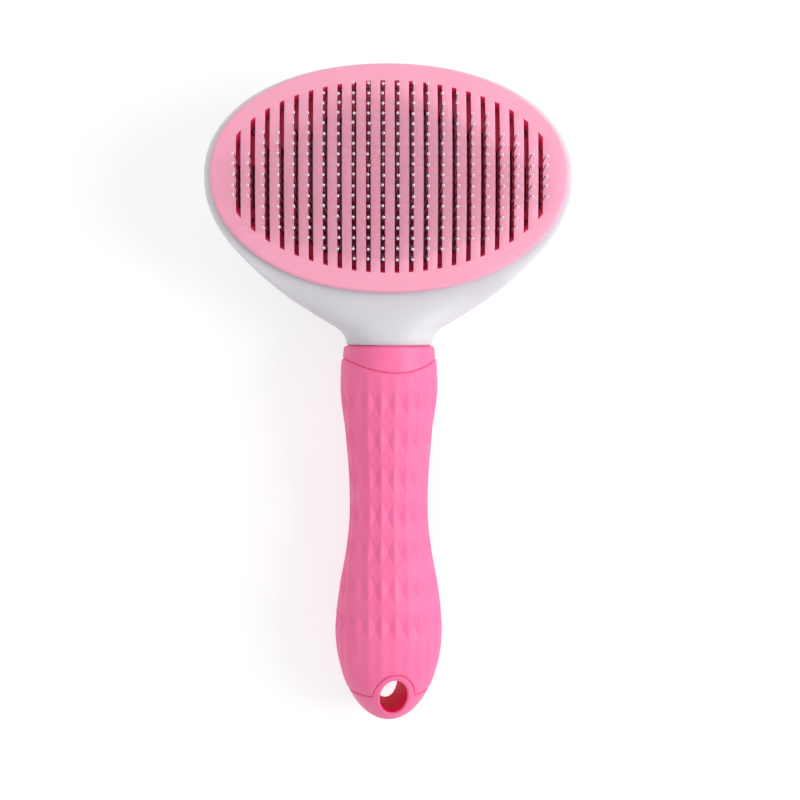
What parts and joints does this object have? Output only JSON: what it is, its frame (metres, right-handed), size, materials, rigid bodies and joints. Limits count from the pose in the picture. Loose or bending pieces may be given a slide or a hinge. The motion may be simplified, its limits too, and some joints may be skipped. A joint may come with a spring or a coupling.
{
  "type": "bristle brush",
  "caption": "Pet slicker brush: oval head of bent wire pins behind a slotted ejector plate, moved by a sprung push button on the back, on a ribbed grip with a hanging hole.",
  "frame": {"origin": "on the surface the brush lies on, under the middle of its length and width", "axes": "+X across the head, +Y from the handle to the head, +Z the way the pins point, away from the back"},
  "size_m": [0.1094, 0.2014, 0.052],
  "materials": {
    "white_plastic": "smooth satin",
    "plate_plastic": "smooth satin",
    "handle_plastic": "smooth satin",
    "grip_rubber": "soft matte",
    "bed_plastic": "matte",
    "pin_wire": "drawn wire, with small rounded plastic tips",
    "steel": "bright"
  },
  "bodies": {
    "brush": {"head_shell": "white_plastic", "pin_bed": "bed_plastic", "bed_keeper": "bed_plastic", "pin_row_01": "pin_wire", "pin_row_02": "pin_wire", "pin_row_03": "pin_wire", "pin_row_04": "pin_wire", "pin_row_05": "pin_wire", "pin_row_06": "pin_wire", "pin_row_07": "pin_wire", "pin_row_08": "pin_wire", "pin_row_09": "pin_wire", "pin_row_10": "pin_wire", "pin_row_11": "pin_wire", "pin_row_12": "pin_wire", "pin_row_13": "pin_wire", "pin_row_14": "pin_wire", "pin_row_15": "pin_wire", "pin_row_16": "pin_wire", "pin_row_17": "pin_wire", "pin_row_18": "pin_wire", "pin_row_19": "pin_wire", "pin_row_20": "pin_wire", "pin_row_21": "pin_wire", "pin_row_22": "pin_wire", "bed_screw_1": "steel", "bed_screw_2": "steel", "bed_screw_3": "steel", "bed_screw_4": "steel", "handle_core": "handle_plastic", "handle_grip": "grip_rubber", "return_spring": "steel"},
    "ejector": {"ejector_plate": "plate_plastic", "push_button": "handle_plastic", "carrier": "white_plastic", "carrier_screw_1": "steel", "carrier_screw_2": "steel"}
  },
  "joints": [
    {"name": "eject_slide", "type": "slide", "parent": "brush", "child": "ejector", "axis": [0, 0, 1], "range_m": [0, 0.009], "stiffness_N_per_m": 500, "springref_m": -0.008, "deforming": ["return_spring"]}
  ]
}
